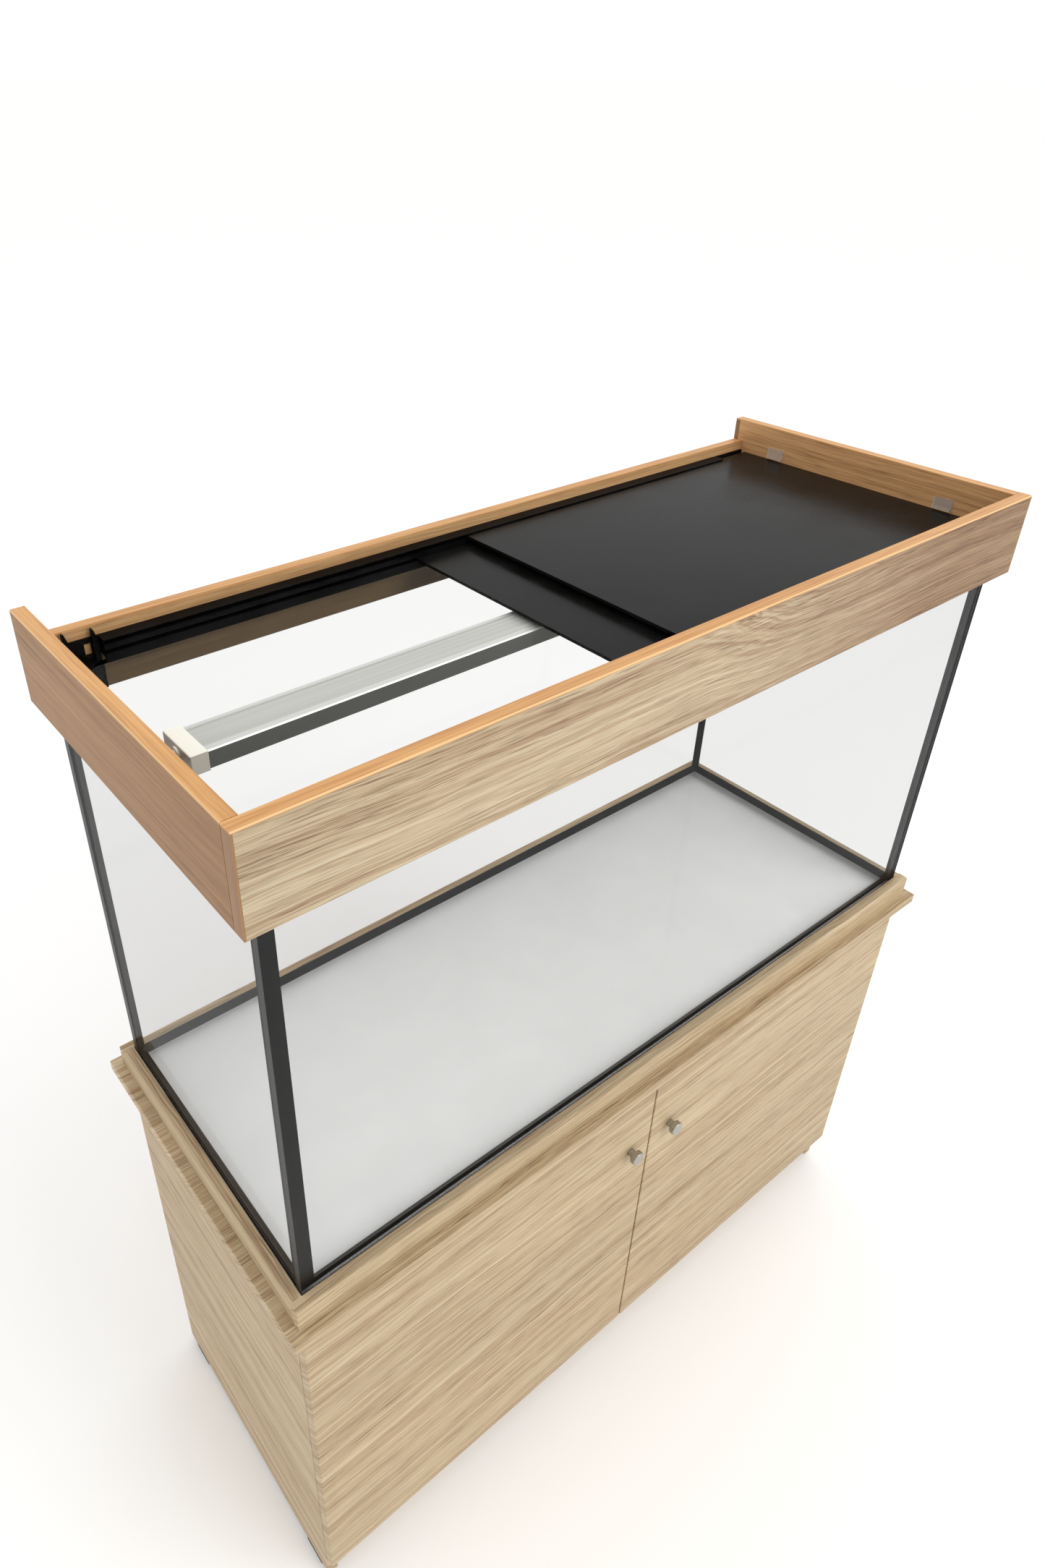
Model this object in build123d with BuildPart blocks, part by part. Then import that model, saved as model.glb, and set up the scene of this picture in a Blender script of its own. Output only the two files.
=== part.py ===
"""Aquarium on a stand: glass tank, wooden hood with two sliding lids, light bar and a two-door stand.

Millimetres, +Z up, front towards -Y, origin on the floor under the middle of the stand.
"""
import os

from build123d import *

# --- Driving dimensions -----------------------------------------------------------------------
BOARD = 16.0            # thickness of every wooden board

# stand
STAND_H = 720.0         # floor to the top face of the stand
TOP_W = 1220.0          # overhanging top board
TOP_D = 500.0
STAND_W = 1182.0        # over the side panels
STAND_D = 462.0         # door face to back panel
GLIDE_H = 8.0
GLIDE_L = 40.0
PLINTH_H = 64.0
PLINTH_INSET = 25.0     # plinth behind the carcass front edge
BACK_T = 8.0
DOOR_GAP = 1.0          # door to carcass
DOOR_MEET = 3.0         # gap between the two doors
DOOR_REVEAL = 3.0       # gap above the doors
SHELF_Z = 380.0
SHELF_GAP = 1.0         # play round a shelf
HOSE_HOLE_R = 30.0
HOSE_HOLE_X = 290.0
HOSE_HOLE_Z = 640.0
RING_FLANGE = 5.0       # hose ring's flange beyond the hole
RING_T = 2.0
RING_WALL = 3.0

# tank
GLASS_W = 1160.0
GLASS_D = 440.0
GLASS_H = 600.0         # underside of the bottom pane to the rim
GLASS_T = 10.0
FLOOR_T = 12.0          # bottom pane
SEAM_BOND = 2.0         # sealant between a front or back pane and a side pane
SEAM_LEG = 9.0          # sealant bead along each inner corner
SEAM_END = 3.0          # beads stop below the rim
FILM = 0.05             # glass to sealant and gasket

# base frame round the foot of the tank
FRAME_H = 34.0
FRAME_T = 15.0
FRAME_ROUND = 3.0
GASKET_T = 1.0
MAT_T = 5.0
MAT_SET = 0.1           # foam pressed below the glass

# hood
HOOD_W = 1200.0
HOOD_D = 480.0
HOOD_H = 110.0
HOOD_OVERLAP = 33.0     # hood skirt below the glass rim
RAIL_DROP = 33.0        # back rail's top edge below the other boards
BAND_T = 2.0            # edge banding
BAND_BEVEL = 1.2
END_STRIP_W = 8.0
END_STRIP_T = 6.0
JOINT_GAP = 0.8         # side board to the front board's inner face

# lid tracks, measured down from the hood's top edge
TRACK_TOP = 47.0
TRACK_LIP = 1.2
GROOVE_H = 5.0
LOWER_GROOVE = 59.5
TRACK_SILL = 2.5
TRACK_SKIRT_END = 75.0
TRACK_DEPTH = 18.0      # board face to the groove's mouth
GROOVE_DEPTH = 9.5
SKIRT_T = 3.0

# lids
LID_L = 594.5
LID_T = 4.0
LID_PLAY = 1.5          # lid edge to the groove's floor
LID_LIFT = 0.05         # running gap under a lid
LID_CORNER = 1.0
UPPER_LID_X = -11.0     # left edges as the lids stand
LOWER_LID_X = -95.0

# corner brackets
BRACKET_LEG = 64.0
BRACKET_T = 3.0
BRACKET_SHELF_T = 4.0
FINS = ((56.0, 11.0), (24.0, 14.0))   # outer edge from the inner corner, tip above the track
LOW_FIN = -11.0         # tips of the right-hand fins, which stand under the upper lid
FIN_W = 6.0
FIN_TIP = 2.0
FIN_TAPER = 13.0
FIN_DEPTH = 6.0
SLOT_W = 8.0
SLOT_H = 14.5
SLOT_INSET = 55.0       # slot's inner edge from the inner corner
SLOT_DROP = 6.0
WING_RISE = 9.0         # short wing above the glass rim
SCREW_R = 1.75
SCREW_HEAD_R = 3.5
SCREW_L = 15.0
HEAD_T = 1.5
LONG_SCREWS = (12.0, 26.0)     # screws from the inner corner, on the long boards
SHORT_SCREWS = (26.0, 50.0)    # and on the short ones
SCREW_Z_LONG = 50.0
SCREW_Z_SHORT = 17.0

# clear clips over the upper lid
CLIP_W = 28.0
CLIP_H = 16.0
CLIP_T = 2.0
CLIP_LIP = 4.5
CLIP_LIP_T = 3.0
CLIP_ABOVE_LID = 2.5
CLIP_ROUND = 1.0
CLIP_YS = (-132.0, 155.0)

# light bar
LIGHT_TOP = 69.0        # below the hood's top edge
LIGHT_H = 22.0
LIGHT_D = 54.0
LIGHT_HALF = 518.5      # half length of the housing
CAP_T = 19.0
CAP_D = 60.0
CAP_ROUND = 1.5
RIM_W = 6.0
RIM_SLOPE = 7.0
RIM_STEP = 1.5
CAVITY_D = 46.0
CAVITY_H = 14.0
DIFFUSER_T = 3.0
STRIP_T = 1.6
LED_SIZE = 4.0
LED_T = 1.0
LED_PITCH = 30.0
LED_COUNT = 34
PEG_R = 5.0
PEG_PLAY = 0.05
COLLAR_R = 8.0
COLLAR_T = 2.5
SADDLE_T = 3.4
SADDLE_LEG = 19.0
SADDLE_PLAY = 0.1       # saddle to the pane it straddles
CRADLE_D = 18.0
CRADLE_TO = 545.0       # cradle's inner end, from the middle
CRADLE_ROUND = 2.0
PEG_GAP = 1.0

# stand fittings
CUP_R = 17.5
CUP_EDGE = 5.0          # cup to the door's hinged edge
CUP_DEPTH = 11.5
CUP_WALL = 1.0
CUP_LINK = 12.0
HINGE_INSET = 100.0     # hinge centres from the door's top and bottom
ARM_W = 14.0
ARM_T = 9.0
ARM_L = 58.0
ARM_GAP = 0.2           # hinge arm behind the carcass edge
PLATE_W = 44.0
PLATE_L = 30.0
PLATE_T = 3.0
KNOB_R = 11.0
KNOB_L = 18.0
KNOB_NECK_R = 6.0
KNOB_HEAD_T = 9.0
KNOB_INSET = 42.0
KNOB_Z = 560.0
STUD_R = 2.0
STUD_L = 12.0
PIN_R = 2.5
PIN_L = 16.0
PIN_IN = 7.5
PIN_Y = 150.0
CAM_R = 7.5
CAM_DEPTH = 12.0
CAM_SLOT = 3.0
CAM_END = 34.0
CAM_Y = 150.0
EDGE_ROUND = 1.5
PLAY = 0.1              # clearance round screws, studs and pins

# --- Levels and limits worked out from them ---------------------------------------------------
LEFT, RIGHT = -1, 1
FRONT, REAR = -1, 1
SIDES = (("left", LEFT), ("right", RIGHT))
ENDS = (("front", FRONT), ("rear", REAR))

carcass_x = STAND_W / 2
inner_x = carcass_x - BOARD
door_y = -STAND_D / 2
carcass_y = door_y + BOARD + DOOR_GAP
back_y = STAND_D / 2
deck_z = STAND_H - BOARD
floor_z = GLIDE_H + PLINTH_H + BOARD
door_z = (floor_z - BOARD, deck_z - DOOR_REVEAL)

base_board_z = STAND_H + BOARD
tank_z = base_board_z + MAT_T
tank_floor_z = tank_z + FLOOR_T
rim_z = tank_z + GLASS_H
glass_x = GLASS_W / 2
glass_y = GLASS_D / 2
frame_x = glass_x + GASKET_T + FRAME_T
frame_y = glass_y + GASKET_T + FRAME_T

hood_z = rim_z - HOOD_OVERLAP
hood_top = hood_z + HOOD_H
hood_x = HOOD_W / 2
hood_y = HOOD_D / 2
hood_in_x = hood_x - BOARD
hood_in_y = hood_y - BOARD
rail_top = hood_top - RAIL_DROP
side_y = (JOINT_GAP - hood_in_y, hood_y)

track_z = hood_top - TRACK_TOP
track_x = hood_in_x - BRACKET_LEG
upper_groove = (track_z - TRACK_LIP - GROOVE_H, track_z - TRACK_LIP)
lower_groove = (hood_top - LOWER_GROOVE - GROOVE_H, hood_top - LOWER_GROOVE)
mouth_y = hood_in_y - TRACK_DEPTH
groove_y = mouth_y + GROOVE_DEPTH
lid_y = groove_y - LID_PLAY
upper_lid_z = upper_groove[0] + LID_LIFT
lower_lid_z = lower_groove[0] + LID_LIFT

skirt_z = hood_top - TRACK_SKIRT_END
wing_top = rim_z + WING_RISE
shelf_z = rim_z + BRACKET_SHELF_T
fin_y = hood_in_y - BRACKET_T
long_screws = [(hood_in_x - inset, hood_z + SCREW_Z_LONG) for inset in LONG_SCREWS]
short_screws = [(hood_in_y - inset, hood_z + SCREW_Z_SHORT) for inset in SHORT_SCREWS]

light_top = hood_top - LIGHT_TOP
light_z = light_top - LIGHT_H
pivot_z = light_z + LIGHT_H / 2
cavity_z = light_z + CAVITY_H

ALONG_X = (0, 90, 0)
ALONG_Y = (90, 0, 0)
PARTS = []


def block(x, y, z, mode=Mode.ADD):
    """A box between three pairs of limits."""
    with Locations((sum(x) / 2, sum(y) / 2, sum(z) / 2)):
        Box(abs(x[1] - x[0]), abs(y[1] - y[0]), abs(z[1] - z[0]), mode=mode)


def span(side, inner, outer):
    """Limits on one side of the middle plane, lowest first."""
    return tuple(sorted((side * inner, side * outer)))


def keep(builder, name):
    """Label a finished piece and list it for export."""
    builder.part.label = name
    PARTS.append(builder.part)


# --- Stand --------------------------------------------------------------------------------------
with BuildPart() as stand_top:
    block((-TOP_W / 2, TOP_W / 2), (-TOP_D / 2, TOP_D / 2), (deck_z, STAND_H))
    fillet(stand_top.edges(), EDGE_ROUND)
keep(stand_top, "stand_top")

cam_zs = (floor_z + CAM_END, deck_z - CAM_END)
cam_ys = (-CAM_Y, CAM_Y)
pin_z = SHELF_Z - PIN_R
pin_ys = (-PIN_Y, PIN_Y)
hose_xs = (-HOSE_HOLE_X, HOSE_HOLE_X)
hinge_zs = (door_z[0] + HINGE_INSET, door_z[1] - HINGE_INSET)

for name, side in SIDES:
    with BuildPart() as stand_side:
        block(span(side, inner_x, carcass_x), (carcass_y, back_y), (GLIDE_H, deck_z))
        face = Plane(origin=(side * inner_x, 0, 0), x_dir=(0, 1, 0), z_dir=(-side, 0, 0))
        with BuildSketch(face):
            with Locations(*[(y, pin_z * -side) for y in pin_ys]):
                Circle(PIN_R + PLAY / 2)
        extrude(amount=-PIN_IN - PLAY, mode=Mode.SUBTRACT)
        with BuildSketch(face):
            with Locations(*[(y, z * -side) for y in cam_ys for z in cam_zs]):
                Circle(CAM_R)
        extrude(amount=-CAM_DEPTH, mode=Mode.SUBTRACT)
    keep(stand_side, f"stand_side_{name}")

with BuildPart() as stand_divider:
    block((-BOARD / 2, BOARD / 2), (carcass_y, back_y - BACK_T), (floor_z, deck_z))
    for side in (LEFT, RIGHT):
        with Locations(*[(side * (BOARD - PIN_IN) / 2, y, pin_z) for y in pin_ys]):
            Cylinder(PIN_R + PLAY / 2, PIN_IN, rotation=ALONG_X, mode=Mode.SUBTRACT)
keep(stand_divider, "stand_divider")

with BuildPart() as stand_bottom:
    block((-inner_x, inner_x), (carcass_y, back_y - BACK_T), (floor_z - BOARD, floor_z))
keep(stand_bottom, "stand_bottom")

plinth_y = carcass_y + PLINTH_INSET
for name, y in (("front", plinth_y), ("rear", back_y - BACK_T - BOARD)):
    with BuildPart() as plinth:
        block((-inner_x, inner_x), (y, y + BOARD), (GLIDE_H, GLIDE_H + PLINTH_H))
    keep(plinth, f"plinth_{name}")

with BuildPart() as stand_back:
    block((-inner_x, inner_x), (back_y - BACK_T, back_y), (floor_z - BOARD, deck_z))
    with Locations(*[(x, back_y - BACK_T / 2, HOSE_HOLE_Z) for x in hose_xs]):
        Cylinder(HOSE_HOLE_R, BACK_T, rotation=ALONG_Y, mode=Mode.SUBTRACT)
keep(stand_back, "stand_back")

with BuildPart() as hose_rings:
    for x in hose_xs:
        with Locations((x, back_y - BACK_T / 2, HOSE_HOLE_Z)):
            Cylinder(HOSE_HOLE_R, BACK_T, rotation=ALONG_Y)
        with Locations((x, back_y + RING_T / 2, HOSE_HOLE_Z)):
            Cylinder(HOSE_HOLE_R + RING_FLANGE, RING_T, rotation=ALONG_Y)
        with Locations((x, back_y - (BACK_T - RING_T) / 2, HOSE_HOLE_Z)):
            Cylinder(HOSE_HOLE_R - RING_WALL, BACK_T + RING_T, rotation=ALONG_Y, mode=Mode.SUBTRACT)
keep(hose_rings, "hose_rings")

for name, side in SIDES:
    with BuildPart() as shelf:
        block(
            span(side, BOARD / 2 + SHELF_GAP, inner_x - SHELF_GAP),
            (carcass_y + PLINTH_INSET, back_y - BACK_T - SHELF_GAP),
            (SHELF_Z, SHELF_Z + BOARD),
        )
    keep(shelf, f"shelf_{name}")

with BuildPart() as shelf_pins:
    for side in (LEFT, RIGHT):
        for face_x, way in ((inner_x, LEFT), (BOARD / 2, RIGHT)):
            for y in pin_ys:
                mid = face_x + way * (PIN_L / 2 - PIN_IN)
                with Locations((side * mid, y, pin_z)):
                    Cylinder(PIN_R, PIN_L, rotation=ALONG_X)
keep(shelf_pins, "shelf_pins")

with BuildPart() as cam_discs:
    for side in (LEFT, RIGHT):
        for y in cam_ys:
            for z in cam_zs:
                with Locations((side * (inner_x + CAM_DEPTH / 2), y, z)):
                    Cylinder(CAM_R, CAM_DEPTH, rotation=ALONG_X)
                with Locations((side * inner_x, y, z)):
                    Box(CAM_SLOT, CAM_R, CAM_SLOT, mode=Mode.SUBTRACT)
                    Box(CAM_SLOT, CAM_SLOT, CAM_R, mode=Mode.SUBTRACT)
keep(cam_discs, "cam_discs")

with BuildPart() as glides:
    glide_y = (carcass_y + GLIDE_L, back_y - GLIDE_L)
    for y in glide_y:
        for x in (-carcass_x + BOARD / 2, carcass_x - BOARD / 2):
            with Locations((x, y, GLIDE_H / 2)):
                Box(BOARD, GLIDE_L, GLIDE_H)
    for y in (plinth_y + BOARD / 2, back_y - BACK_T - BOARD / 2):
        with Locations((0, y, GLIDE_H / 2)):
            Box(GLIDE_L, BOARD, GLIDE_H)
keep(glides, "glides")

with BuildPart() as hinge_arms:
    arm_y = (carcass_y + ARM_GAP, carcass_y + ARM_L)
    for side in (LEFT, RIGHT):
        for z in hinge_zs:
            plate_x = span(side, inner_x - PLATE_T, inner_x)
            block(plate_x, (arm_y[1] - PLATE_L, arm_y[1]), (z - PLATE_W / 2, z + PLATE_W / 2))
            arm_x = span(side, inner_x - PLATE_T - ARM_T, inner_x - PLATE_T)
            block(arm_x, arm_y, (z - ARM_W / 2, z + ARM_W / 2))
keep(hinge_arms, "hinge_arms")

# --- Doors --------------------------------------------------------------------------------------
door_back = door_y + BOARD
for name, side in SIDES:
    hinge_x = side * carcass_x
    cup_x = hinge_x - side * (CUP_EDGE + CUP_R)
    knob_x = side * KNOB_INSET
    with BuildPart() as door:
        block(span(side, DOOR_MEET / 2, carcass_x), (door_y, door_back), door_z)
        fillet(door.faces().sort_by(Axis.Y)[0].edges(), EDGE_ROUND)
        with Locations(*[(cup_x, door_back - CUP_DEPTH / 2, z) for z in hinge_zs]):
            Cylinder(CUP_R, CUP_DEPTH, rotation=ALONG_Y, mode=Mode.SUBTRACT)
        with Locations((knob_x, door_y + STUD_L / 2, KNOB_Z)):
            Cylinder(STUD_R + PLAY / 2, STUD_L, rotation=ALONG_Y, mode=Mode.SUBTRACT)
    keep(door, f"door_{name}")

    with BuildPart() as cups:
        for z in hinge_zs:
            with Locations((cup_x, door_back - CUP_DEPTH / 2, z)):
                Cylinder(CUP_R, CUP_DEPTH, rotation=ALONG_Y)
            with Locations((cup_x, door_back - (CUP_DEPTH - CUP_WALL) / 2, z)):
                Cylinder(CUP_R - CUP_WALL, CUP_DEPTH - CUP_WALL, rotation=ALONG_Y, mode=Mode.SUBTRACT)
            with Locations((cup_x - side * CUP_R / 2, door_back - CUP_DEPTH / 2, z)):
                Box(CUP_LINK, CUP_DEPTH - CUP_WALL, ARM_W)
    keep(cups, f"hinge_cups_{name}")

    with BuildPart() as knob:
        with BuildSketch(Plane.XZ.offset(-door_y)):
            with Locations((knob_x, KNOB_Z)):
                Circle(KNOB_NECK_R)
        extrude(amount=KNOB_L - KNOB_HEAD_T)
        with BuildSketch(Plane.XZ.offset(-door_y + KNOB_L - KNOB_HEAD_T)):
            with Locations((knob_x, KNOB_Z)):
                Circle(KNOB_R)
        extrude(amount=KNOB_HEAD_T)
        fillet(knob.edges().filter_by(GeomType.CIRCLE).sort_by(Axis.Y)[:2], EDGE_ROUND)
        with Locations((knob_x, door_y + STUD_L / 2, KNOB_Z)):
            Cylinder(STUD_R, STUD_L, rotation=ALONG_Y)
    keep(knob, f"knob_{name}")

# --- Tank base ----------------------------------------------------------------------------------
with BuildPart() as base_board:
    block((-glass_x, glass_x), (-glass_y, glass_y), (STAND_H, base_board_z))
keep(base_board, "base_board")

with BuildPart() as base_mat:
    block((-glass_x, glass_x), (-glass_y, glass_y), (base_board_z, tank_z - MAT_SET))
keep(base_mat, "base_mat")

for name, way in ENDS:
    with BuildPart() as frame_long:
        block((-frame_x, frame_x), span(way, frame_y - FRAME_T, frame_y), (STAND_H, STAND_H + FRAME_H))
        top_edges = frame_long.edges().filter_by(Axis.X).group_by(Axis.Z)[-1]
        fillet(top_edges.sort_by(Axis.Y)[0 if way == FRONT else -1], FRAME_ROUND)
    keep(frame_long, f"base_frame_{name}")

for name, side in SIDES:
    with BuildPart() as frame_short:
        block(
            span(side, frame_x - FRAME_T, frame_x),
            (FRAME_T - frame_y, frame_y - FRAME_T),
            (STAND_H, STAND_H + FRAME_H),
        )
        top_edges = frame_short.edges().filter_by(Axis.Y).group_by(Axis.Z)[-1]
        fillet(top_edges.sort_by(Axis.X)[0 if side == LEFT else -1], FRAME_ROUND)
    keep(frame_short, f"base_frame_{name}")

with BuildPart() as gasket:
    gasket_z = (tank_z, STAND_H + FRAME_H)
    block((-glass_x - GASKET_T, glass_x + GASKET_T), (-glass_y - GASKET_T, glass_y + GASKET_T), gasket_z)
    block((-glass_x - FILM, glass_x + FILM), (-glass_y - FILM, glass_y + FILM), gasket_z, mode=Mode.SUBTRACT)
keep(gasket, "base_gasket")

# --- Tank ---------------------------------------------------------------------------------------
with BuildPart() as glass_bottom:
    block((-glass_x, glass_x), (-glass_y, glass_y), (tank_z, tank_floor_z))
keep(glass_bottom, "glass_bottom")

for name, way in ENDS:
    with BuildPart() as pane:
        block((-glass_x, glass_x), span(way, glass_y - GLASS_T, glass_y), (tank_floor_z, rim_z))
    keep(pane, f"glass_{name}")

pane_end = glass_y - GLASS_T - SEAM_BOND
for name, side in SIDES:
    with BuildPart() as pane:
        block(span(side, glass_x - GLASS_T, glass_x), (-pane_end, pane_end), (tank_floor_z, rim_z))
    keep(pane, f"glass_{name}")

in_x = glass_x - GLASS_T
in_y = glass_y - GLASS_T
seam_x = in_x - FILM
seam_y = in_y - FILM
seam_z = tank_floor_z + FILM
with BuildPart() as seams:
    for side in (LEFT, RIGHT):
        for way in (FRONT, REAR):
            with BuildSketch(Plane.XY.offset(seam_z)):
                with BuildLine():
                    Polyline(
                        (side * glass_x, way * seam_y),
                        (side * (seam_x - SEAM_LEG), way * seam_y),
                        (side * seam_x, way * (seam_y - SEAM_LEG)),
                        (side * seam_x, way * (pane_end + FILM)),
                        (side * glass_x, way * (pane_end + FILM)),
                        close=True,
                    )
                make_face()
            extrude(amount=rim_z - SEAM_END - seam_z)
    for way in (FRONT, REAR):
        with BuildSketch(Plane.YZ.offset(-seam_x)):
            with BuildLine():
                Polyline(
                    (way * seam_y, seam_z),
                    (way * (seam_y - SEAM_LEG), seam_z),
                    (way * seam_y, seam_z + SEAM_LEG),
                    close=True,
                )
            make_face()
        extrude(amount=2 * seam_x)
    for side in (LEFT, RIGHT):
        with BuildSketch(Plane.XZ.offset(-seam_y)):
            with BuildLine():
                Polyline(
                    (side * seam_x, seam_z),
                    (side * (seam_x - SEAM_LEG), seam_z),
                    (side * seam_x, seam_z + SEAM_LEG),
                    close=True,
                )
            make_face()
        extrude(amount=2 * seam_y)
keep(seams, "tank_seams")

# --- Hood boards --------------------------------------------------------------------------------
board_top = hood_top - BAND_T
with BuildPart() as hood_front:
    block((-hood_x + BAND_T, hood_x - BAND_T), (-hood_y, -hood_in_y), (hood_z, board_top))
    for side in (LEFT, RIGHT):
        for x, z in long_screws:
            with Locations((side * x, -hood_in_y - SCREW_L / 2, z)):
                Cylinder(SCREW_R + PLAY, SCREW_L, rotation=ALONG_Y, mode=Mode.SUBTRACT)
keep(hood_front, "hood_front")

with BuildPart() as hood_back:
    block((-hood_in_x, hood_in_x), (hood_in_y, hood_y), (hood_z, rail_top - BAND_T))
    for side in (LEFT, RIGHT):
        for x, z in long_screws:
            with Locations((side * x, hood_in_y + SCREW_L / 2, z)):
                Cylinder(SCREW_R + PLAY, SCREW_L, rotation=ALONG_Y, mode=Mode.SUBTRACT)
keep(hood_back, "hood_back")

for name, side in SIDES:
    with BuildPart() as hood_side:
        block(span(side, hood_in_x, hood_x), side_y, (hood_z, board_top))
        strip = span(side, hood_in_x, hood_in_x + END_STRIP_T)
        block(strip, (hood_y - END_STRIP_W, hood_y), (rail_top, board_top), mode=Mode.SUBTRACT)
        for way in (FRONT, REAR):
            for y, z in short_screws:
                with Locations((side * (hood_in_x + SCREW_L / 2), way * y, z)):
                    Cylinder(SCREW_R + PLAY, SCREW_L, rotation=ALONG_X, mode=Mode.SUBTRACT)
    keep(hood_side, f"hood_{name}")

with BuildPart() as long_bands:
    block((-hood_x, hood_x), (-hood_y, -hood_in_y), (board_top, hood_top))
    block((-hood_in_x, hood_in_x), (hood_in_y, hood_y), (rail_top - BAND_T, rail_top))
    rims = long_bands.edges().filter_by(Axis.X)
    front_rim = rims.group_by(Axis.Z)[-1].sort_by(Axis.Y)[0]
    rear_rim = rims.group_by(Axis.Y)[-1].sort_by(Axis.Z)[-1]
    chamfer([front_rim, rear_rim], BAND_BEVEL)
keep(long_bands, "hood_bands_long")

with BuildPart() as short_bands:
    for side in (LEFT, RIGHT):
        block(span(side, hood_in_x, hood_x), side_y, (board_top, hood_top))
    rims = short_bands.edges().filter_by(Axis.Y).group_by(Axis.Z)[-1].sort_by(Axis.X)
    chamfer([rims[0], rims[-1]], BAND_BEVEL)
keep(short_bands, "hood_bands_short")

with BuildPart() as upright_bands:
    for side in (LEFT, RIGHT):
        block(span(side, hood_x - BAND_T, hood_x), (-hood_y, -hood_in_y), (hood_z, board_top))
        strip = span(side, hood_in_x, hood_in_x + END_STRIP_T)
        block(strip, (hood_y - END_STRIP_W, hood_y), (rail_top, board_top))
keep(upright_bands, "hood_bands_upright")

# --- Corner brackets ----------------------------------------------------------------------------
for end_name, way in ENDS:
    for side_name, side in SIDES:
        with BuildPart() as bracket:
            long_wing = span(way, hood_in_y - BRACKET_T, hood_in_y)
            block(span(side, hood_in_x - BRACKET_LEG, hood_in_x), long_wing, (hood_z, track_z))
            short_wing = span(side, hood_in_x - BRACKET_T, hood_in_x)
            block(short_wing, span(way, hood_in_y - BRACKET_LEG, hood_in_y), (hood_z, wing_top))
            with BuildSketch(Plane.XY.offset(rim_z)):
                with BuildLine():
                    Polyline(
                        (side * hood_in_x, way * hood_in_y),
                        (side * (hood_in_x - BRACKET_LEG), way * hood_in_y),
                        (side * hood_in_x, way * (hood_in_y - BRACKET_LEG)),
                        close=True,
                    )
                make_face()
            extrude(amount=BRACKET_SHELF_T)
            for inset, rise in FINS:
                fin_x = hood_in_x - inset
                tip_z = track_z + (rise if side == LEFT else LOW_FIN)
                outline = (
                    (fin_x, shelf_z),
                    (fin_x, tip_z),
                    (fin_x - FIN_TIP, tip_z),
                    (fin_x - FIN_W, tip_z - FIN_TAPER),
                    (fin_x - FIN_W, shelf_z),
                )
                fin_face = Plane(origin=(0, way * fin_y, 0), x_dir=(1, 0, 0), z_dir=(0, -way, 0))
                with BuildSketch(fin_face):
                    with BuildLine():
                        Polyline(*[(side * x, way * z) for x, z in outline], close=True)
                    make_face()
                extrude(amount=FIN_DEPTH)
            slot_x = hood_in_x - SLOT_INSET
            slot_z = track_z - SLOT_DROP
            slot = span(side, slot_x, slot_x + SLOT_W)
            block(slot, long_wing, (slot_z - SLOT_H, slot_z), mode=Mode.SUBTRACT)
            for x, z in long_screws:
                with Locations((side * x, way * (hood_in_y - BRACKET_T / 2), z)):
                    Cylinder(SCREW_R + PLAY, BRACKET_T, rotation=ALONG_Y, mode=Mode.SUBTRACT)
                with Locations((side * x, way * (hood_in_y - BRACKET_T + HEAD_T / 2), z)):
                    Cylinder(SCREW_HEAD_R + PLAY, HEAD_T, rotation=ALONG_Y, mode=Mode.SUBTRACT)
            for y, z in short_screws:
                with Locations((side * (hood_in_x - BRACKET_T / 2), way * y, z)):
                    Cylinder(SCREW_R + PLAY, BRACKET_T, rotation=ALONG_X, mode=Mode.SUBTRACT)
                with Locations((side * (hood_in_x - BRACKET_T + HEAD_T / 2), way * y, z)):
                    Cylinder(SCREW_HEAD_R + PLAY, HEAD_T, rotation=ALONG_X, mode=Mode.SUBTRACT)
        keep(bracket, f"corner_bracket_{end_name}_{side_name}")

with BuildPart() as bracket_screws:
    for side in (LEFT, RIGHT):
        for way in (FRONT, REAR):
            for x, z in long_screws:
                tip = hood_in_y - BRACKET_T + SCREW_L
                with Locations((side * x, way * (tip - SCREW_L / 2), z)):
                    Cylinder(SCREW_R, SCREW_L, rotation=ALONG_Y)
                with Locations((side * x, way * (hood_in_y - BRACKET_T + HEAD_T / 2), z)):
                    Cylinder(SCREW_HEAD_R, HEAD_T, rotation=ALONG_Y)
            for y, z in short_screws:
                tip = hood_in_x - BRACKET_T + SCREW_L
                with Locations((side * (tip - SCREW_L / 2), way * y, z)):
                    Cylinder(SCREW_R, SCREW_L, rotation=ALONG_X)
                with Locations((side * (hood_in_x - BRACKET_T + HEAD_T / 2), way * y, z)):
                    Cylinder(SCREW_HEAD_R, HEAD_T, rotation=ALONG_X)
keep(bracket_screws, "bracket_screws")

# --- Lid tracks and lids ------------------------------------------------------------------------
for name, way in ENDS:
    with BuildPart() as track:
        with BuildSketch(Plane.YZ.offset(-track_x)):
            with BuildLine():
                Polyline(
                    (way * hood_in_y, track_z),
                    (way * mouth_y, track_z),
                    (way * mouth_y, upper_groove[1]),
                    (way * groove_y, upper_groove[1]),
                    (way * groove_y, upper_groove[0]),
                    (way * mouth_y, upper_groove[0]),
                    (way * mouth_y, lower_groove[1]),
                    (way * groove_y, lower_groove[1]),
                    (way * groove_y, lower_groove[0]),
                    (way * mouth_y, lower_groove[0]),
                    (way * mouth_y, skirt_z),
                    (way * (mouth_y + SKIRT_T), skirt_z),
                    (way * (mouth_y + SKIRT_T), lower_groove[0] - TRACK_SILL),
                    (way * hood_in_y, lower_groove[0] - TRACK_SILL),
                    close=True,
                )
            make_face()
        extrude(amount=2 * track_x)
    keep(track, f"lid_track_{name}")

for name, left_x, z in (("upper", UPPER_LID_X, upper_lid_z), ("lower", LOWER_LID_X, lower_lid_z)):
    with BuildPart() as lid:
        block((left_x, left_x + LID_L), (-lid_y, lid_y), (z, z + LID_T))
        chamfer(lid.edges().filter_by(Axis.Z), LID_CORNER)
    keep(lid, f"lid_{name}")

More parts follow.
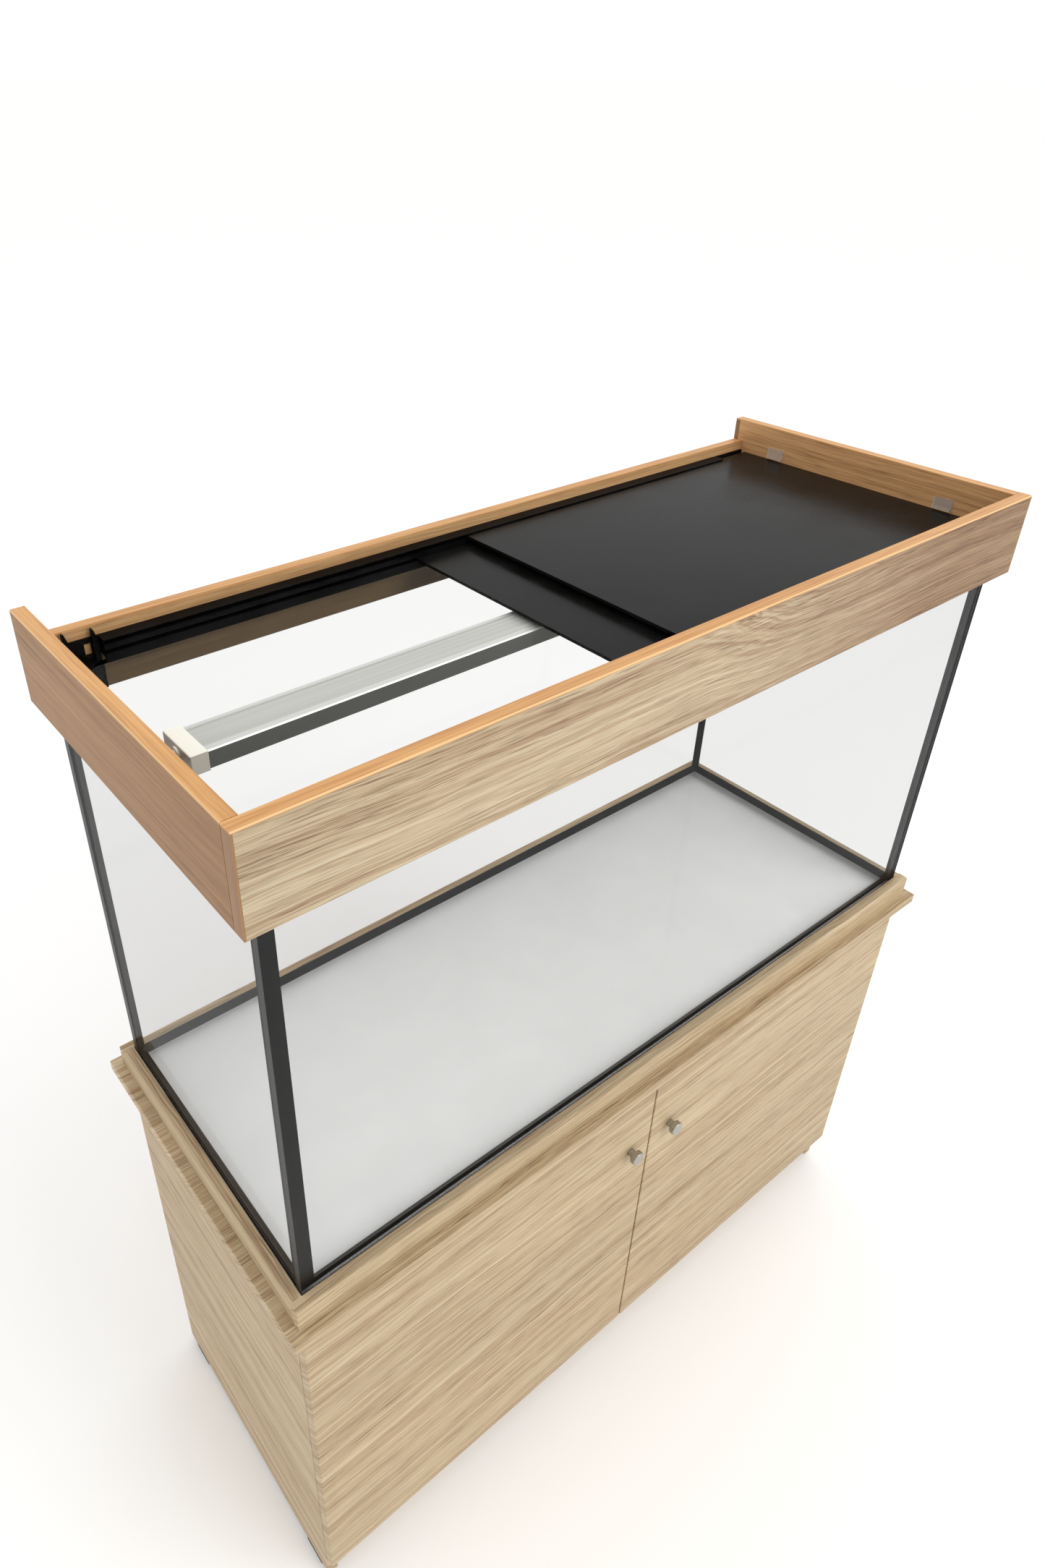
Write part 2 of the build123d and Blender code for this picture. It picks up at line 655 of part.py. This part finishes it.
clip_z = upper_lid_z + LID_T + CLIP_ABOVE_LID
with BuildPart() as lid_clips:
    for side in (LEFT, RIGHT):
        for y in CLIP_YS:
            clip_y = (y - CLIP_W / 2, y + CLIP_W / 2)
            block(span(side, hood_in_x - CLIP_T, hood_in_x), clip_y, (clip_z, clip_z + CLIP_H))
            block(span(side, hood_in_x - CLIP_LIP, hood_in_x), clip_y, (clip_z, clip_z + CLIP_LIP_T))
    fillet(lid_clips.edges().filter_by(Axis.Z).group_by(SortBy.LENGTH)[0], CLIP_ROUND)
keep(lid_clips, "lid_clips")

# --- Light bar ----------------------------------------------------------------------------------
half_d = LIGHT_D / 2
with BuildPart() as light_housing:
    with BuildSketch(Plane.YZ.offset(-LIGHT_HALF)):
        with BuildLine():
            Polyline(
                (-half_d, light_z),
                (-half_d, light_top - RIM_STEP - CAP_ROUND),
                (-half_d + CAP_ROUND, light_top - RIM_STEP),
                (-half_d + RIM_W, light_top - RIM_STEP),
                (-half_d + RIM_W + RIM_SLOPE, light_top),
                (half_d - RIM_W - RIM_SLOPE, light_top),
                (half_d - RIM_W, light_top - RIM_STEP),
                (half_d - CAP_ROUND, light_top - RIM_STEP),
                (half_d, light_top - RIM_STEP - CAP_ROUND),
                (half_d, light_z),
                (CAVITY_D / 2, light_z),
                (CAVITY_D / 2, cavity_z),
                (-CAVITY_D / 2, cavity_z),
                (-CAVITY_D / 2, light_z),
                close=True,
            )
        make_face()
    extrude(amount=2 * LIGHT_HALF)
keep(light_housing, "light_housing")

with BuildPart() as led_strip:
    block((-LIGHT_HALF, LIGHT_HALF), (-CAVITY_D / 2, CAVITY_D / 2), (cavity_z - STRIP_T, cavity_z))
keep(led_strip, "led_strip")

with BuildPart() as leds:
    with Locations((0, 0, cavity_z - STRIP_T - LED_T / 2)):
        with GridLocations(LED_PITCH, 1, LED_COUNT, 1):
            Box(LED_SIZE, LED_SIZE, LED_T)
keep(leds, "leds")

with BuildPart() as diffuser:
    block((-LIGHT_HALF, LIGHT_HALF), (-CAVITY_D / 2, CAVITY_D / 2), (light_z, light_z + DIFFUSER_T))
keep(diffuser, "light_diffuser")

cap_out = LIGHT_HALF + CAP_T
peg_end = in_x - SADDLE_T - PEG_GAP
for name, side in SIDES:
    with BuildPart() as cap:
        block(span(side, LIGHT_HALF, cap_out), (-CAP_D / 2, CAP_D / 2), (light_z, light_top))
        fillet(cap.faces().sort_by(Axis.X)[0 if side == LEFT else -1].edges(), CAP_ROUND)
        with Locations((side * (cap_out + COLLAR_T / 2), 0, pivot_z)):
            Cylinder(COLLAR_R, COLLAR_T, rotation=ALONG_X)
        with Locations((side * (cap_out + peg_end) / 2, 0, pivot_z)):
            Cylinder(PEG_R, peg_end - cap_out, rotation=ALONG_X)
    keep(cap, f"light_cap_{name}")

    with BuildPart() as holder:
        saddle_x = span(side, in_x - SADDLE_T, glass_x + SADDLE_T)
        saddle_y = (-CAP_D / 2, CAP_D / 2)
        block(saddle_x, saddle_y, (rim_z - SADDLE_LEG, rim_z + SADDLE_T))
        pane_x = span(side, in_x - SADDLE_PLAY, glass_x + SADDLE_PLAY)
        block(pane_x, saddle_y, (rim_z - SADDLE_LEG, rim_z), mode=Mode.SUBTRACT)
        cradle_x = span(side, CRADLE_TO, in_x - SADDLE_T)
        block(cradle_x, (-CRADLE_D / 2, CRADLE_D / 2), (pivot_z - CRADLE_D / 2, rim_z + SADDLE_T))
        fillet(holder.edges().filter_by(Axis.X).group_by(Axis.Z)[0], CRADLE_ROUND)
        slot_r = PEG_R + PEG_PLAY
        with Locations((side * (CRADLE_TO + in_x - SADDLE_T) / 2, 0, pivot_z)):
            Cylinder(slot_r, in_x - SADDLE_T - CRADLE_TO, rotation=ALONG_X, mode=Mode.SUBTRACT)
        block(cradle_x, (-slot_r, slot_r), (pivot_z, rim_z + SADDLE_T), mode=Mode.SUBTRACT)
    keep(holder, f"light_holder_{name}")

# --- Export -------------------------------------------------------------------------------------
os.makedirs("parts", exist_ok=True)
for piece in PARTS:
    export_step(piece, f"parts/{piece.label}.step")
print(len(PARTS), "pieces")
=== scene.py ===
import math

import bpy
from mathutils import Matrix, Vector


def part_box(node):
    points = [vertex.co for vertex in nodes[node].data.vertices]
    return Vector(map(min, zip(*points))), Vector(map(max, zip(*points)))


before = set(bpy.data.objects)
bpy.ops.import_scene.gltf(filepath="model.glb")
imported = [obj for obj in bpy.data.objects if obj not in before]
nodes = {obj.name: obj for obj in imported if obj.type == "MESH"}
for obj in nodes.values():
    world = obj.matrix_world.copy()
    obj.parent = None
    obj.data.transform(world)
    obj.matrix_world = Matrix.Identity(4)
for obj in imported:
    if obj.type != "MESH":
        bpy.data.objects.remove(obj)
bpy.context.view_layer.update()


# --- Colours and nodes --------------------------------------------------------------------------
def linear(rgb):
    """An 8-bit display colour as a linear RGBA tuple."""
    def one(c):
        c = c / 255
        return c / 12.92 if c <= 0.04045 else ((c + 0.055) / 1.055) ** 2.4
    return (one(rgb[0]), one(rgb[1]), one(rgb[2]), 1.0)


def scaled(rgba, factor, lift=0.0):
    """A linear colour made brighter or darker."""
    return tuple(min(1.0, c * factor + lift) for c in rgba[:3]) + (1.0,)


class Tree:
    """A material's node tree, with short calls for the nodes used here."""

    def __init__(self, name):
        self.mat = bpy.data.materials.new(name)
        self.mat.use_nodes = True
        self.nt = self.mat.node_tree
        self.nt.nodes.clear()
        self.out = self.add("ShaderNodeOutputMaterial")
        self.bsdf = self.add("ShaderNodeBsdfPrincipled")
        self.link(self.bsdf.outputs[0], self.out.inputs[0])

    def add(self, kind, **props):
        node = self.nt.nodes.new(kind)
        for key, value in props.items():
            setattr(node, key, value)
        return node

    def link(self, a, b):
        self.nt.links.new(a, b)

    def put(self, socket, value):
        """Link a socket, or set a plain value."""
        if isinstance(value, bpy.types.NodeSocket):
            self.link(value, socket)
        else:
            socket.default_value = value

    def coords(self):
        return self.add("ShaderNodeTexCoord").outputs["Object"]

    def object_normal(self):
        return self.split(self.add("ShaderNodeTexCoord").outputs["Normal"])

    def world_normal(self):
        return self.split(self.add("ShaderNodeNewGeometry").outputs["Normal"])

    def moved(self, vector, offset):
        node = self.add("ShaderNodeMapping")
        self.put(node.inputs["Vector"], vector)
        node.inputs["Location"].default_value = offset
        return node.outputs[0]

    def split(self, vector):
        node = self.add("ShaderNodeSeparateXYZ")
        self.put(node.inputs[0], vector)
        return node.outputs

    def join(self, x, y, z):
        node = self.add("ShaderNodeCombineXYZ")
        for socket, value in zip(node.inputs, (x, y, z)):
            self.put(socket, value)
        return node.outputs[0]

    def math(self, op, a, b=0.0, clamp=False):
        node = self.add("ShaderNodeMath", operation=op, use_clamp=clamp)
        self.put(node.inputs[0], a)
        self.put(node.inputs[1], b)
        return node.outputs[0]

    def plus(self, a, b, clamp=False):
        return self.math("ADD", a, b, clamp)

    def times(self, a, b):
        return self.math("MULTIPLY", a, b)

    def centred(self, value, amount):
        """A 0 to 1 value as a swing of the amount about zero."""
        return self.times(self.math("SUBTRACT", value, 0.5), amount)

    def steep(self, value, limit):
        """1 where the value's size is over the limit, else 0."""
        return self.math("GREATER_THAN", self.math("ABSOLUTE", value), limit)

    def range(self, value, low, high, to_low=0.0, to_high=1.0):
        node = self.add("ShaderNodeMapRange", clamp=True, interpolation_type="SMOOTHSTEP")
        for socket, item in zip(node.inputs, (value, low, high, to_low, to_high)):
            self.put(socket, item)
        return node.outputs[0]

    def noise(self, vector, scale, detail, rough):
        node = self.add("ShaderNodeTexNoise")
        self.put(node.inputs["Vector"], vector)
        node.inputs["Scale"].default_value = scale
        node.inputs["Detail"].default_value = detail
        node.inputs["Roughness"].default_value = rough
        return node.outputs["Fac"]

    def fibres(self, parts, along_scale, across_scale, detail, rough):
        """Noise drawn out along the first of three coordinates."""
        u, v, w = parts
        drawn = self.join(self.times(u, along_scale), self.times(v, across_scale),
                          self.times(w, across_scale))
        return self.noise(drawn, 1.0, detail, rough)

    def mix(self, factor, a, b, blend="MIX"):
        node = self.add("ShaderNodeMix", data_type="RGBA", blend_type=blend)
        self.put(node.inputs[0], factor)
        self.put(node.inputs[6], a)
        self.put(node.inputs[7], b)
        return node.outputs[2]

    def tinted(self, factor, color, tint):
        """The colour, multiplied by the tint where the factor is 1."""
        return self.mix(factor, color, self.mix(1.0, color, tint, "MULTIPLY"))

    def mix_shaders(self, factor, a, b):
        node = self.add("ShaderNodeMixShader")
        self.put(node.inputs[0], factor)
        self.link(a.outputs[0], node.inputs[1])
        self.link(b.outputs[0], node.inputs[2])
        return node

    def bump(self, height, strength, distance):
        node = self.add("ShaderNodeBump")
        node.inputs["Strength"].default_value = strength
        node.inputs["Distance"].default_value = distance
        self.put(node.inputs["Height"], height)
        self.link(node.outputs[0], self.bsdf.inputs["Normal"])

    def surface(self, **values):
        """Set the shader's sockets, with _ for a space in a socket's name."""
        for key, value in values.items():
            self.put(self.bsdf.inputs[key.replace("_", " ")], value)
        return self.mat


# Order of the object axes: along the grain, across the board's face, through the board.
GRAIN_ORDER = {"X": (0, 2, 1), "Y": (1, 2, 0), "Z": (2, 0, 1), "XY": (0, 1, 2), "YX": (1, 0, 2)}


def along(tree, axis):
    """Object coordinates in the grain's order."""
    parts = tree.split(tree.coords())
    return tree.join(*[parts[i] for i in GRAIN_ORDER[axis]])


# --- Oak ----------------------------------------------------------------------------------------
# Scales along the grain and across it, per metre.
DRIFT = (1.5, 6.0)          # slow change of tone, and the lines' course
SWAY = (8.0, 20.0)
RIPPLE = (34.0, 90.0)
ARCH_EDGE = (14.0, 60.0)    # unevenness of the cathedral arcs' tips
YEARS = (0.9, 60.0)         # groups of growth rings
RINGS = (2.0, 320.0)
STREAKS = (5.0, 620.0)
PORES = (18.0, 480.0)       # short dark dashes
FLECKS = (14.0, 1100.0)     # short pale dashes
# How far each of them moves the lines, in metres, or the tone.
DRIFT_BY, SWAY_BY, RIPPLE_BY, ARCH_EDGE_BY = 0.030, 0.005, 0.0012, 0.05
YEARS_BY, RINGS_BY, STREAKS_BY = 1.0, 1.3, 0.9
FLECK_SHIFT = 5.0           # keeps the flecks off the pores' pattern
FLECK_AMOUNT, FLECK_LIFT = 0.6, 1.12
SEED_ACROSS, SEED_THROUGH = 0.37, 0.11
FACE_FRONT = -0.5           # a face whose normal points to the front


def oak(name, axis, tones, arch=None, contrast=1.0, painted_shade_ramp=None, shadow=None, seed=0.0):
    """Oak figure: growth lines along the board, short dark pores, pale flecks, slow colour drift.

    tones = pale, body, tan and pore colours; arch = centre across, start and end along the board,
    and the heart's depth under the face at each; painted_shade_ramp = start, end and tint of a painted
    shade along the board; shadow = a height under which the faces to the front get a painted shadow,
    and its tint.
    """
    t = Tree(name)
    here = along(t, axis)
    place = t.split(here)[0]
    u, v, w = t.split(t.moved(here, (seed, seed * SEED_ACROSS, seed * SEED_THROUGH)))
    across = t.plus(v, w)

    def drawn(scales, line, detail=2.0, rough=0.55):
        return t.noise(t.join(t.times(u, scales[0]), t.times(line, scales[1]), w), 1.0, detail, rough)

    drift = drawn(DRIFT, across)
    bend = t.plus(t.centred(drift, DRIFT_BY), t.centred(drawn(SWAY, across), SWAY_BY))
    ripple = t.centred(drawn(RIPPLE, across, detail=1.0), RIPPLE_BY)
    straight = t.plus(t.plus(across, bend), ripple)
    field = straight
    if arch:
        centre, start, end, deep, shallow = arch
        side = t.math("SUBTRACT", straight, centre)
        edge = t.centred(drawn(ARCH_EDGE, across), ARCH_EDGE_BY)
        depth = t.range(t.plus(place, edge), start, end, deep, shallow)
        ring = t.math("SQRT", t.plus(t.times(side, side), t.times(depth, depth)))
        field = t.times(ring, -1.0)

    years = drawn(YEARS, field, 3.0, 0.6)
    rings = drawn(RINGS, field, 2.0, 0.6)
    streaks = drawn(STREAKS, straight, 3.0, 0.65)
    pores = drawn(PORES, t.plus(straight, field))
    flecks = drawn(FLECKS, t.plus(straight, FLECK_SHIFT), detail=1.0)
    swing = t.plus(t.plus(t.centred(years, YEARS_BY), t.centred(rings, RINGS_BY)),
                   t.centred(streaks, STREAKS_BY))
    shade = t.plus(t.times(swing, contrast), 0.5, clamp=True)

    pale, body, tan, pore = [linear(tone) for tone in tones]
    ramp = t.add("ShaderNodeValToRGB")
    stops = ramp.color_ramp.elements
    stops[0].position, stops[0].color = 0.12, tan
    stops[1].position, stops[1].color = 0.88, pale
    stops.new(0.50).color = body
    t.link(shade, ramp.inputs[0])
    dark = t.times(t.range(pores, 0.53, 0.63), t.range(years, 0.62, 0.38, 0.35, 0.75))
    bright = t.times(t.range(flecks, 0.57, 0.68), FLECK_AMOUNT)
    color = t.mix(t.times(dark, contrast), ramp.outputs[0], pore)
    color = t.mix(t.times(bright, contrast), color, scaled(pale, FLECK_LIFT))
    tone = t.range(drift, 0.3, 0.7, 0.95, 1.05)
    color = t.mix(1.0, color, t.join(tone, tone, tone), "MULTIPLY")
    # painted shade: the colour is tinted darker from start to end along the board, and fully past the end
    if painted_shade_ramp:
        start, end, tint = painted_shade_ramp
        color = t.tinted(t.range(place, start, end), color, tint)
    # painted shadow: faces to the front below the height are darkened by the tint
    if shadow:
        height, tint = shadow
        low = t.math("LESS_THAN", t.split(t.coords())[2], height)
        color = t.tinted(t.times(low, t.math("LESS_THAN", t.world_normal()[1], FACE_FRONT)), color, tint)
    t.bump(t.math("SUBTRACT", t.times(shade, 0.5), dark), 0.2, 0.0003)
    return t.surface(Base_Color=color, Roughness=t.range(shade, 0.0, 1.0, 0.55, 0.45),
                     Specular_IOR_Level=0.28)


def band(name, axis, body, pale, bevel):
    """Plastic edge band: fine straight grain, and its trimmed edge shows paler."""
    t = Tree(name)
    parts = t.split(along(t, axis))
    fine = t.fibres(parts, 10.0, 420.0, 3.0, 0.55)
    clouds = t.fibres(parts, 3.0, 40.0, 2.0, 0.5)
    mixed = t.plus(t.times(fine, 0.65), t.times(clouds, 0.35))
    color = t.mix(t.range(mixed, 0.36, 0.64), linear(body), linear(pale))
    up = t.world_normal()[2]
    slanted = t.times(t.steep(up, 0.3), t.math("LESS_THAN", t.math("ABSOLUTE", up), 0.95))
    color = t.mix(t.times(slanted, 0.8), color, linear(bevel))
    t.bump(fine, 0.15, 0.0002)
    return t.surface(Base_Color=color, Roughness=0.42, Specular_IOR_Level=0.3)


# --- Plastic, metal and glass -------------------------------------------------------------------
def plastic(name, color, rough, grain=900.0, strength=0.12, speck=0.0, **extra):
    """Moulded plastic: a fine texture, and slight clouds of tone and gloss."""
    t = Tree(name)
    place = t.coords()
    cloud = t.noise(place, 14.0, 3.0, 0.6)
    base = linear(color)
    shade = t.mix(t.range(cloud, 0.3, 0.7), base, scaled(base, 1.0 + speck, lift=0.004))
    gloss = t.range(cloud, 0.25, 0.75, rough - 0.03, rough + 0.05)
    t.bump(t.noise(place, grain, 2.0, 0.5), strength, 0.0002)
    return t.surface(Base_Color=shade, Roughness=gloss, **extra)


def cap_plastic(name, top, side):
    """Moulded end cap, with painted shade making its upright faces greyer."""
    t = Tree(name)
    up = t.range(t.object_normal()[2], 0.1, 0.9)
    t.bump(t.noise(t.coords(), 500.0, 2.0, 0.5), 0.1, 0.0002)
    return t.surface(Base_Color=t.mix(up, linear(side), linear(top)), Roughness=0.35)


def metal(name, color, axis):
    """Bright metal drawn along one axis."""
    t = Tree(name)
    lines = t.fibres(t.split(along(t, axis)), 4.0, 900.0, 2.0, 0.6)
    base = linear(color)
    t.bump(lines, 0.1, 0.0001)
    return t.surface(Base_Color=t.mix(t.range(lines, 0.35, 0.65), scaled(base, 0.86), base),
                     Roughness=t.range(lines, 0.3, 0.7, 0.26, 0.36), Metallic=1.0)


def light_metal(name, top, side, rim_highlight, edge, level):
    """Satin anodised extrusion: painted shade on its front and back faces, painted highlights below the
    level and on slanted corners.
    """
    t = Tree(name)
    parts = t.split(t.coords())
    lines = t.fibres(parts, 3.0, 260.0, 3.0, 0.6)
    facing = t.object_normal()[1]
    base = linear(top)
    color = t.mix(t.range(lines, 0.35, 0.65), scaled(base, 0.90), base)
    # painted highlight: everything below the level is paler
    color = t.mix(t.math("LESS_THAN", parts[2], level), color, linear(rim_highlight))
    # painted highlights on the slanted corners
    color = t.mix(t.steep(facing, 0.5), color, linear(edge))
    # painted shade on the front and back faces, darker towards the left end
    painted_shade_grey = linear(side)
    color = t.mix(t.steep(facing, 0.8), color, t.mix(t.range(parts[0], -0.5, 0.1), scaled(painted_shade_grey, 0.7), painted_shade_grey))
    t.bump(lines, 0.08, 0.0001)
    return t.surface(Base_Color=color, Roughness=t.range(lines, 0.3, 0.7, 0.34, 0.42), Metallic=0.25)


REFRACTION = 1.5
GLOSS = 0.25                # how much of a pane's mirror shows
HEAD_ON = 0.04              # mirror of a face seen head on


def glass(name, tint, bends=True, sealed=False):
    """A clear pane with a faint mirror, stronger at a slant.

    bends = the view is refracted, and lamp light goes straight through; sealed = the ends along X
    are blackened by the sealant on them.
    """
    t = Tree(name)
    clear = t.add("ShaderNodeBsdfTransparent")
    clear.inputs[0].default_value = linear(tint)
    if bends:
        bent = t.add("ShaderNodeBsdfRefraction")
        bent.inputs[0].default_value = linear(tint)
        bent.inputs["Roughness"].default_value = 0.0
        bent.inputs["IOR"].default_value = REFRACTION
        clear = t.mix_shaders(t.add("ShaderNodeLightPath").outputs["Is Shadow Ray"], bent, clear)
    mirror = t.add("ShaderNodeBsdfGlossy")
    mirror.inputs["Roughness"].default_value = 0.02
    slant = t.math("POWER", t.add("ShaderNodeLayerWeight").outputs["Facing"], 5.0)
    pane = t.mix_shaders(t.times(t.plus(slant, HEAD_ON), GLOSS), clear, mirror)
    if sealed:
        pane = t.mix_shaders(t.steep(t.object_normal()[0], 0.9), pane, t.bsdf)
        t.surface(Base_Color=linear((16, 16, 16)), Roughness=0.4, Specular_IOR_Level=0.3)
    else:
        t.nt.nodes.remove(t.bsdf)
    t.link(pane.outputs[0], t.out.inputs[0])
    return t.mat


def give(mat, *names):
    for name in names:
        piece = nodes[name]
        piece.data.materials.clear()
        piece.data.materials.append(mat)


# --- Hood ---------------------------------------------------------------------------------------
SILL_H = 0.008              # from the track's foot to the line below which the back rail gets a painted shadow
TRACK_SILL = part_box("lid_track_rear")[0].z + SILL_H
# painted shadow on the back board's inner face below the track sill
PAINTED_SHADOW_TINT = (0.20, 0.21, 0.18, 1.0)
# painted shade on the front board: darker and warmer towards +x, fully past x 0.48 m
FRONT_PAINTED_SHADE_TINT = (0.62, 0.49, 0.40, 1.0)
# One oak, painted per board for the light on it: the left board's darker tones are painted shade, the back
# and right boards' warmer, brighter tones painted light.
FRONT_OAK = ((192, 176, 148), (172, 151, 121), (143, 114, 87), (100, 76, 52))
BACK_OAK_LIT = ((206, 166, 118), (186, 144, 98), (160, 118, 76), (120, 84, 50))
LEFT_OAK_SHADED = ((168, 128, 88), (152, 113, 75), (132, 96, 62), (102, 72, 45))
RIGHT_OAK_LIT = ((214, 168, 118), (196, 148, 100), (168, 124, 80), (128, 90, 56))
ARCH = (1.19, -0.08, 0.16, 0.06, 0.012)
give(oak("oak_front", "X", FRONT_OAK, arch=ARCH, painted_shade_ramp=(-0.05, 0.48, FRONT_PAINTED_SHADE_TINT)), "hood_front")
give(oak("oak_back", "X", BACK_OAK_LIT, contrast=0.8, seed=3.0, shadow=(TRACK_SILL, PAINTED_SHADOW_TINT)), "hood_back")
give(oak("oak_left", "Y", LEFT_OAK_SHADED, contrast=0.7, seed=7.0), "hood_left")
give(oak("oak_right", "Y", RIGHT_OAK_LIT, contrast=0.8, seed=11.0), "hood_right")

BAND_BODY, BAND_PALE, BAND_BEVEL = (188, 134, 80), (216, 164, 104), (226, 190, 138)
give(band("band_long", "XY", BAND_BODY, BAND_PALE, BAND_BEVEL), "hood_bands_long")
give(band("band_short", "YX", BAND_BODY, BAND_PALE, BAND_BEVEL), "hood_bands_short")
# the upright bands' darker tones are painted shade on the vertical corners
give(band("band_upright", "Z", (132, 95, 60), (158, 118, 78), (206, 170, 122)), "hood_bands_upright")

give(plastic("lid_black", (13, 13, 12), 0.24, strength=0.0, Specular_IOR_Level=0.075),
     "lid_upper", "lid_lower")
give(plastic("bracket_black", (5, 5, 5), 0.42, grain=500.0, strength=0.1, Specular_IOR_Level=0.05),
     "corner_bracket_front_left", "corner_bracket_front_right", "corner_bracket_rear_left",
     "corner_bracket_rear_right", "lid_track_front", "lid_track_rear", "light_holder_left",
     "light_holder_right", "hose_rings", "glides")
give(plastic("clip_clear", (236, 228, 216), 0.2, Alpha=0.34), "lid_clips")

# --- Light bar ----------------------------------------------------------------------------------
# Level below which the housing gets a paler painted highlight; the shell's second colour is painted shade,
# the third and fourth are painted highlights.
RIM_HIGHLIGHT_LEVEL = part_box("light_housing")[1].z - 0.001
give(light_metal("light_shell", (189, 190, 184), (88, 90, 84), (203, 204, 199), (240, 241, 238), RIM_HIGHLIGHT_LEVEL),
     "light_housing")
# the caps' second colour is painted shade on their upright faces
give(cap_plastic("light_cap", (244, 243, 231), (186, 182, 170)), "light_cap_left", "light_cap_right")
give(plastic("diffuser", (238, 238, 232), 0.5), "light_diffuser")
give(plastic("led_board", (230, 230, 226), 0.5), "led_strip")
give(plastic("led", (244, 220, 130), 0.25), "leds")

# --- Tank ---------------------------------------------------------------------------------------
PANE = (248, 248, 248)
give(glass("sealed_glass", PANE, sealed=True), "glass_front", "glass_rear")
give(glass("tank_glass", PANE), "glass_left", "glass_right")
give(glass("floor_glass", (254, 254, 254), bends=False), "glass_bottom")
give(plastic("sealant", (7, 7, 7), 0.4, grain=400.0, Specular_IOR_Level=0.15), "tank_seams")
give(plastic("gasket", (26, 28, 28), 0.55), "base_gasket")
give(plastic("foam", (248, 248, 246), 0.9, grain=300.0, strength=0.6, speck=-0.04), "base_mat")

# --- Stand --------------------------------------------------------------------------------------
STAND_OAK = ((199, 182, 150), (181, 158, 124), (156, 128, 97), (114, 88, 61))
give(oak("oak_stand_top", "XY", STAND_OAK, seed=17.0), "stand_top", "stand_bottom", "shelf_left",
     "shelf_right")
give(oak("oak_frame_long", "X", STAND_OAK, seed=23.0), "base_frame_front", "base_frame_rear",
     "plinth_front", "plinth_rear")
give(oak("oak_frame_short", "Y", STAND_OAK, seed=29.0), "base_frame_left", "base_frame_right")
give(oak("oak_side", "Y", STAND_OAK, seed=31.0), "stand_side_left", "stand_side_right",
     "stand_divider")
give(oak("oak_door", "X", STAND_OAK), "door_left", "door_right")
give(plastic("back_board", (188, 160, 126), 0.6, speck=0.05), "stand_back", "base_board")
give(metal("steel", (186, 186, 184), "X"), "bracket_screws", "cam_discs", "shelf_pins",
     "hinge_arms", "hinge_cups_left", "hinge_cups_right")
give(metal("knob", (178, 176, 170), "Y"), "knob_left", "knob_right")

# --- Floor and light ----------------------------------------------------------------------------
scene = bpy.context.scene
scene.view_settings.view_transform = "Standard"

FLOOR = 400.0               # half the floor's width
floor_mesh = bpy.data.meshes.new("floor")
floor_mesh.from_pydata([(-FLOOR, -FLOOR, 0), (FLOOR, -FLOOR, 0), (FLOOR, FLOOR, 0), (-FLOOR, FLOOR, 0)],
                       [], [(0, 1, 2, 3)])
floor_mesh.materials.append(Tree("floor").surface(Base_Color=linear((252, 252, 251)), Roughness=1.0))
floor = bpy.data.objects.new("floor", floor_mesh)
scene.collection.objects.link(floor)

WORLD_LIGHT = 1.03
world = bpy.data.worlds.new("world")
world.use_nodes = True
world.node_tree.nodes["Background"].inputs[0].default_value = (1.0, 1.0, 1.0, 1.0)
world.node_tree.nodes["Background"].inputs[1].default_value = WORLD_LIGHT
scene.world = world

KEY_PLACE, KEY_TARGET = Vector((1.0, -3.2, 3.4)), Vector((0.0, 0.0, 1.0))
key_data = bpy.data.lights.new("key", "AREA")
key_data.shape = "SQUARE"
key_data.size = 2.4
key_data.energy = 60.0
key = bpy.data.objects.new("key", key_data)
key.location = KEY_PLACE
key.rotation_euler = (KEY_TARGET - KEY_PLACE).to_track_quat("-Z", "Y").to_euler()
scene.collection.objects.link(key)

# --- Camera -------------------------------------------------------------------------------------
CAM_PLACE = (-0.8524, -0.8171, 1.8903)
CAM_TURN, CAM_DOWN, CAM_ROLL = 0.666, 0.570, 0.004
SENSOR, LENS = 36.0, 23.9023
SHIFT_X, SHIFT_Y = 0.04991, -0.02744
NEAR, FAR = 0.01, 1000.0
ahead = Vector((math.sin(CAM_TURN) * math.cos(CAM_DOWN), math.cos(CAM_TURN) * math.cos(CAM_DOWN),
                -math.sin(CAM_DOWN)))
level = Vector((math.cos(CAM_TURN), -math.sin(CAM_TURN), 0))
upward = level.cross(ahead)
right = level * math.cos(CAM_ROLL) + upward * math.sin(CAM_ROLL)
up = upward * math.cos(CAM_ROLL) - level * math.sin(CAM_ROLL)
camera_data = bpy.data.cameras.new("camera")
camera_data.sensor_width = SENSOR
camera_data.lens = LENS
camera_data.shift_x = SHIFT_X
camera_data.shift_y = SHIFT_Y
camera_data.clip_start = NEAR
camera_data.clip_end = FAR
camera = bpy.data.objects.new("camera", camera_data)
turn = Matrix((right, up, -ahead)).transposed().to_4x4()
camera.matrix_world = Matrix.Translation(CAM_PLACE) @ turn
scene.collection.objects.link(camera)
scene.camera = camera
